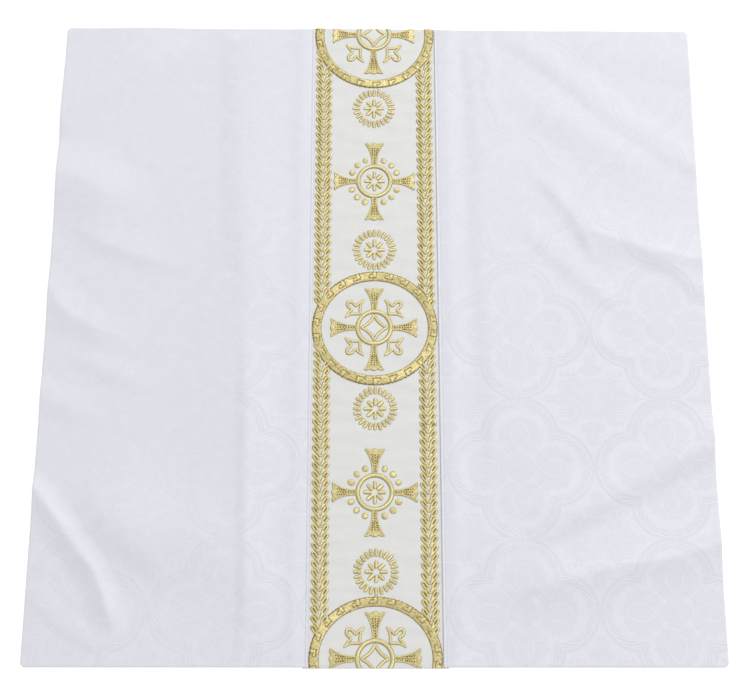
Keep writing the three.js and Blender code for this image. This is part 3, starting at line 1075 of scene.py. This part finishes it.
def crackle_height(across, along, side):
    """Faint wrinkles left by folding, in strips beside the old fold lines.

    A noise is dented where it crosses its middle value, which leaves thin wandering lines.
    """
    wander = noise(across, along * 0.7, 0.13, 3.0)
    dents = (1.0 - abs(wander - 0.5) * 12.0).high(0.0)
    if side < 0:
        strip = (9.0 - abs(across + 131.0 + along * -0.03)).ramp(14.0) * (along + 60.0).ramp(80.0)
        corner = (34.0 - abs(across + 262.0)).ramp(50.0) * (along - 235.0).ramp(50.0)
        return dents * strip.high(corner * 0.8)
    strip = (7.0 - abs(across - 104.0)).ramp(12.0) * (along - 190.0).ramp(80.0)
    pucker = (20.0 - length_of(across - 208.0, along - 84.0)).ramp(14.0)
    return dents * strip.high(pucker * 0.5)


def figure_painted_sheen_fade(across, along, side):
    """How strongly the figure's painted sheen shows at a place: least where the cloth turns to the light.
    """
    if side < 0:
        strip = (across + 121.0).ramp(10.0) * ((50.0 - along).ramp(300.0) * 0.65 + 0.2)
        near_end = (0.0 - along - 160.0).ramp(120.0) * 0.3 + 0.28
        return strip.high(near_end)
    lower = (40.0 - along).ramp(160.0) * 0.5
    return lower + (across - 90.0).ramp(160.0) * 0.15 + 0.3


def damask_material(side, figure, grain, cloth):
    """White damask: the figure and ground differ a little in tone, which is painted sheen faded by place,
    and more in gloss.
    """
    material, shader = new_material("white_damask_left" if side < 0 else "white_damask_right")
    across, along = place_on_cloth(material)
    middle = QUATREFOIL_MIDDLES[side]
    walked = along - middle[1]
    if side > 0:
        walked = walked - walked * walked * 5.7e-5
    tone = use_group(material, figure, Across=across - middle[0], Along=walked)["Tone"]
    # The figure's tone in the colour is painted sheen, faded by place; the grain is the weave's own tone
    tone = (tone - 0.35) * figure_painted_sheen_fade(across, along, side)
    weave = use_group(material, grain, Across=across, Along=along, Slub=1.0)
    share = (tone * cloth.figure_painted_sheen_strength + weave["Grain"] * 0.62).math("ADD", 0.5, clamp=True)
    colour = mix_colours(material, share, cloth.damask_shade, cloth.damask_light)
    material.node_tree.links.new(colour, shader.inputs["Base Color"])
    gloss = 0.6 - tone * 0.06 + weave["Grain"] * 0.1
    material.node_tree.links.new(gloss.socket, shader.inputs["Roughness"])
    shader.inputs["Specular IOR Level"].default_value = 0.35
    shader.inputs["Sheen Weight"].default_value = 0.05
    shader.inputs["Sheen Roughness"].default_value = 0.4
    crackle = crackle_height(across, along, side)
    bump(material, shader, weave["Height"] * 0.04 + tone * 0.05 - crackle * 0.09)
    return material


def ivory_material(grain, cloth):
    """Ivory satin of the band, with faint puckers that run across between the motifs."""
    material, shader = new_material("ivory_satin")
    across, along = place_on_cloth(material)
    weave = use_group(material, grain, Across=across, Along=along, Slub=0.6)
    share = (weave["Grain"] * 0.8).math("ADD", 0.5, clamp=True)
    colour = mix_colours(material, share, cloth.ivory_shade, cloth.ivory_light)
    material.node_tree.links.new(colour, shader.inputs["Base Color"])
    material.node_tree.links.new((0.48 + weave["Grain"] * 0.1).socket, shader.inputs["Roughness"])
    shader.inputs["Specular IOR Level"].default_value = 0.45
    pucker = noise(across * 0.028, along * 0.085, 1.0, 0.5)
    bump(material, shader, pucker * 1.5 + weave["Height"] * 0.03)
    return material


def gold_material(thread):
    """Gold thread in satin stitch: painted shade in the needle lines, painted highlight on the crests,
    finely ribbed.
    """
    material, shader = new_material("gold_thread")
    tree = material.node_tree
    # crest is low in the needle lines and high on the crests, and carries the gold's painted shade and
    # painted highlight
    crest_node = tree.nodes.new("ShaderNodeAttribute")
    crest_node.attribute_name = "crest"
    crest = Wire(tree, crest_node.outputs["Fac"])
    along, across = thread_map(material)
    streak = noise(along * 1.6, across * 0.5, 0.8, 2.0) - 0.5
    ribs = (along * (2 * math.pi / 0.44) + streak * 2.0).math("SINE")
    # depth mixes in the painted shade of the needle lines, and the next share the painted highlight on the
    # crests
    depth = (crest * 1.5 - 0.12 + streak * 0.35).math("MULTIPLY_ADD", 1.0, 0.0, clamp=True)
    painted_highlight_share = ((crest - 0.55) * 1.3 + streak * 2.2).math("MULTIPLY_ADD", 1.0, 0.0, clamp=True)
    colour = mix_colours(material, depth, thread.needle_line_painted_shade, thread.gold)
    colour = mix_colours(material, painted_highlight_share, colour, thread.painted_highlight_colour)
    tree.links.new(colour, shader.inputs["Base Color"])
    tree.links.new((0.42 + streak * 0.25).socket, shader.inputs["Roughness"])
    shader.inputs["Metallic"].default_value = 0.35
    shader.inputs["Specular IOR Level"].default_value = 0.5
    bump(material, shader, ribs * 0.05 + streak * 0.18)
    return material


def sewing_thread_material(cloth):
    """White sewing thread, ribbed by its twist, with painted highlight and shade on the ribs."""
    material, shader = new_material("white_sewing_thread")
    along, across = thread_map(material)
    twist = ((along + across) * 14.0).math("SINE")
    # Painted highlight on the twist's ribs and painted shade between them
    colour = mix_colours(material, twist.ramp(3.0), cloth.damask_shade, cloth.damask_light)
    material.node_tree.links.new(colour, shader.inputs["Base Color"])
    shader.inputs["Roughness"].default_value = 0.55
    bump(material, shader, twist * 0.03)
    return material


class VeilClothSettings(bpy.types.PropertyGroup):
    """Sizes and colours of the two cloths."""

    panel_step: FloatProperty(
        name="Panel step", description="Cell of the damask panels' mesh",
        default=0.00185, min=0.0012, unit="LENGTH")
    band_step: FloatProperty(
        name="Band step", description="Cell of the band ground's mesh",
        default=0.003, min=0.001, unit="LENGTH")
    damask_light: FloatVectorProperty(
        name="Damask light", description="Lightest tone of the white damask",
        default=(0.79, 0.79, 0.853), subtype="COLOR", size=3)
    damask_shade: FloatVectorProperty(
        name="Damask shade", description="Darkest tone of the white damask",
        default=(0.635, 0.635, 0.69), subtype="COLOR", size=3)
    ivory_light: FloatVectorProperty(
        name="Ivory light", description="Lightest tone of the ivory satin",
        default=(0.747, 0.747, 0.729), subtype="COLOR", size=3)
    ivory_shade: FloatVectorProperty(
        name="Ivory shade", description="Darkest tone of the ivory satin",
        default=(0.648, 0.649, 0.632), subtype="COLOR", size=3)
    # Strength of the figure's painted sheen in the damask's colour
    figure_painted_sheen_strength: FloatProperty(
        name="Figure contrast", description="How far the woven figure stands out in tone",
        default=0.17, min=0.0, max=1.0, subtype="FACTOR")


class VeilThreadSettings(bpy.types.PropertyGroup):
    """Colours of the gold thread, its painted highlight and the painted shade of its needle lines."""

    gold: FloatVectorProperty(
        name="Gold", description="The thread's own colour",
        default=(0.615, 0.51, 0.222), subtype="COLOR", size=3)
    # Painted highlight of the gold, where the thread catches the light
    painted_highlight_colour: FloatVectorProperty(
        name="Pale gold", description="Where the thread catches the light",
        default=(0.82, 0.757, 0.41), subtype="COLOR", size=3)
    # Painted shade in the needle lines of the stitching
    needle_line_painted_shade: FloatVectorProperty(
        name="Needle line", description="Depth of the stitching",
        default=(0.22, 0.15, 0.03), subtype="COLOR", size=3)
    seed: IntProperty(
        name="Seed", description="Start of the small unevenness of the stitches",
        default=7, min=0)


class VeilStageSettings(bpy.types.PropertyGroup):
    """The floor and the light."""

    floor_size: FloatProperty(
        name="Floor size", description="Side of the floor",
        default=6.0, min=1.0, unit="LENGTH")
    key_power: FloatProperty(
        name="Key power", description="Watts of the soft light at the far right",
        default=193.0, min=0.0)
    sky_strength: FloatProperty(
        name="Sky strength", description="Even light from all sides",
        default=0.71, min=0.0)


def gold_piece(thread, stitching, name):
    """A joined piece of gold embroidery that rides on the veil."""
    material = bpy.data.materials.get("gold_thread") or gold_material(thread)
    piece = stitching.piece(name, material)
    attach(piece, "root")
    return piece


def shared_group(name, maker):
    """A node group that is built once and found by its name afterwards."""
    return bpy.data.node_groups.get(name) or maker()


class VEIL_OT_stage(bpy.types.Operator):
    """Make the pale floor, the soft light and the camera"""

    bl_idname = "veil.stage"
    bl_label = "Stage"

    def execute(self, context):
        settings = context.scene.veil_stage
        half = settings.floor_size / 2
        mesh = bpy.data.meshes.new("floor")
        corners = [(-half, -half, 0), (half, -half, 0), (half, half, 0), (-half, half, 0)]
        mesh.from_pydata(corners, [], [(0, 1, 2, 3)])
        floor = bpy.data.objects.new("floor", mesh)
        context.scene.collection.objects.link(floor)
        material, shader = new_material("floor_paper")
        shader.inputs["Base Color"].default_value = (0.97, 0.97, 0.97, 1.0)
        shader.inputs["Roughness"].default_value = 0.9
        shader.inputs["Emission Color"].default_value = (1.0, 1.0, 1.0, 1.0)
        shader.inputs["Emission Strength"].default_value = 0.35
        mesh.materials.append(material)

        world = bpy.data.worlds.new("studio")
        world.use_nodes = True
        sky = world.node_tree.nodes["Background"]
        sky.inputs["Color"].default_value = (1.0, 1.0, 1.0, 1.0)
        sky.inputs["Strength"].default_value = settings.sky_strength
        context.scene.world = world

        key = bpy.data.lights.new("key", "AREA")
        key.shape = "DISK"
        key.size = KEY_ACROSS
        key.energy = settings.key_power
        lamp = bpy.data.objects.new("key", key)
        lamp.location = KEY_PLACE
        lamp.rotation_euler = (-lamp.location).to_track_quat("-Z", "Y").to_euler()
        context.scene.collection.objects.link(lamp)

        lens = bpy.data.cameras.new("camera")
        lens.sensor_width = SENSOR_WIDTH
        lens.lens = FOCAL_PIXELS * SENSOR_WIDTH / PHOTO_WIDTH
        lens.shift_x = -AXIS_RIGHT_OF_MIDDLE / PHOTO_WIDTH
        lens.shift_y = AXIS_ABOVE_MIDDLE / PHOTO_WIDTH
        lens.clip_start = 0.05
        camera = bpy.data.objects.new("camera", lens)
        camera.location = Vector(CAMERA_PLACE) * MM
        camera.rotation_euler = Euler([math.radians(turn) for turn in CAMERA_TURN])
        context.scene.collection.objects.link(camera)
        context.scene.camera = camera
        context.scene.view_settings.view_transform = "Standard"
        context.scene.view_settings.look = "None"
        return {"FINISHED"}


class VEIL_OT_damask_panels(bpy.types.Operator):
    """Make the two damask panels with their creases and stitched folds"""

    bl_idname = "veil.damask_panels"
    bl_label = "Damask panels"

    def execute(self, context):
        cloth = context.scene.veil_cloth
        figure = shared_group("damask_figure", damask_figure_group)
        grain = shared_group("weave_grain", weave_grain_group)
        sewing = sewing_thread_material(cloth)
        for side, word in ((-1, "left"), (1, "right")):
            points, faces = damask_panel(side, cloth.panel_step / MM)
            material = damask_material(side, figure, grain, cloth)
            panel = make_piece(f"damask_{word}", points, faces, material)
            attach(panel, "root")
            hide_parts(f"damask_panel_{word}")
            stitching = Stitching()
            edge_stitches(stitching, side, 40 + side)
            thread = stitching.piece(f"edge_stitching_{word}", sewing)
            raised = np.empty(3 * len(thread.data.vertices), np.float32)
            thread.data.vertices.foreach_get("co", raised)
            raised[2::3] += (LAYER_GAP + PANEL_THICKNESS - FOLD_THINNER - EDGE_STITCH_LOWER) * MM
            thread.data.vertices.foreach_set("co", raised)
            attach(thread, "root")
        return {"FINISHED"}


class VEIL_OT_leaf_borders(bpy.types.Operator):
    """Make the two embroidered borders of paired leaves"""

    bl_idname = "veil.leaf_borders"
    bl_label = "Leaf borders"

    def execute(self, context):
        thread = context.scene.veil_thread
        stitching = Stitching()
        leaf_borders(stitching, thread.seed)
        gold_piece(thread, stitching, "leaf_borders")
        return {"FINISHED"}


class VEIL_OT_medallions(bpy.types.Operator):
    """Make the three medallions: key ring, cross, centre ring, star and tulips"""

    bl_idname = "veil.medallions"
    bl_label = "Medallions"

    def execute(self, context):
        thread = context.scene.veil_thread
        rings = Stitching()
        crosses = Stitching()
        for number, medallion in enumerate(MEDALLIONS):
            medallion_ring(rings, medallion, thread.seed + number)
            inner = (medallion.x - 0.5, medallion.y + 0.2)
            four_arms(crosses, inner, medallion.arms)
            hollow_star(crosses, inner)
            tulips(crosses, inner, medallion.stretch)
            centre_ring(crosses, inner)
        gold_piece(thread, rings, "medallion_rings")
        gold_piece(thread, crosses, "medallion_crosses")
        return {"FINISHED"}


class VEIL_OT_small_crosses(bpy.types.Operator):
    """Make the two small crosses with their padded dots and flowers"""

    bl_idname = "veil.small_crosses"
    bl_label = "Small crosses"

    def execute(self, context):
        thread = context.scene.veil_thread
        stitching = Stitching()
        for number, middle in enumerate(SMALL_CROSS_MIDDLES):
            four_arms(stitching, middle, (38.2, 39.2, 38.2, 39.2))
            centre_ring(stitching, middle)
            quarters = [math.radians(90 * q + a) for q in range(4) for a in (22.5, 45.0, 67.5)]
            padded_dots(stitching, middle, quarters, 22.5, 6.2, thread.seed + number)
            flower(stitching, middle, thread.seed + 20 + number, 0.03)
        gold_piece(thread, stitching, "small_crosses")
        return {"FINISHED"}


class VEIL_OT_rosettes(bpy.types.Operator):
    """Make the four rosettes: a ring of strokes about a flower of eight petals"""

    bl_idname = "veil.rosettes"
    bl_label = "Rosettes"

    def execute(self, context):
        thread = context.scene.veil_thread
        stitching = Stitching()
        for number, middle in enumerate(ROSETTE_MIDDLES):
            rays = np.radians(np.arange(24) * 15.0)
            spokes(stitching, middle, rays, 12.8, 20.1, 1.76, 0.75, thread.seed + 30 + number, 0.06, 0.2)
            flower(stitching, middle, thread.seed + 40 + number, 0.04)
        gold_piece(thread, stitching, "rosettes")
        return {"FINISHED"}


class VEIL_OT_band_ground(bpy.types.Operator):
    """Make the band's ivory ground under the embroidery"""

    bl_idname = "veil.band_ground"
    bl_label = "Band ground"

    def execute(self, context):
        cloth = context.scene.veil_cloth
        grain = shared_group("weave_grain", weave_grain_group)
        points, faces = band_ground(cloth.band_step / MM)
        ground = make_piece("orphrey_ground", points, faces, ivory_material(grain, cloth))
        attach(ground, "root")
        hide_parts("orphrey_band")
        return {"FINISHED"}


class VEIL_PT_sidebar(bpy.types.Panel):
    """Lists the veil's pieces, in the order in which they are made"""

    bl_idname = "VEIL_PT_sidebar"
    bl_label = "Chalice veil"
    bl_space_type = "VIEW_3D"
    bl_region_type = "UI"
    bl_category = "Veil"

    def draw(self, context):
        for operator in OPERATORS:
            self.layout.operator(operator.bl_idname)


SETTINGS = {
    "veil_cloth": VeilClothSettings,
    "veil_thread": VeilThreadSettings,
    "veil_stage": VeilStageSettings,
}
OPERATORS = (
    VEIL_OT_stage,
    VEIL_OT_damask_panels,
    VEIL_OT_leaf_borders,
    VEIL_OT_medallions,
    VEIL_OT_small_crosses,
    VEIL_OT_rosettes,
    VEIL_OT_band_ground,
)


def register():
    for name, group in SETTINGS.items():
        bpy.utils.register_class(group)
        setattr(bpy.types.Scene, name, PointerProperty(type=group))
    for made in (*OPERATORS, VEIL_PT_sidebar):
        bpy.utils.register_class(made)


def unregister():
    for made in (VEIL_PT_sidebar, *reversed(OPERATORS)):
        bpy.utils.unregister_class(made)
    for name, group in SETTINGS.items():
        delattr(bpy.types.Scene, name)
        bpy.utils.unregister_class(group)


def main():
    register()
    bpy.ops.veil.stage()
    bpy.ops.veil.damask_panels()
    bpy.ops.veil.leaf_borders()
    bpy.ops.veil.medallions()
    bpy.ops.veil.small_crosses()
    bpy.ops.veil.rosettes()
    bpy.ops.veil.band_ground()


if __name__ == "__main__":
    main()
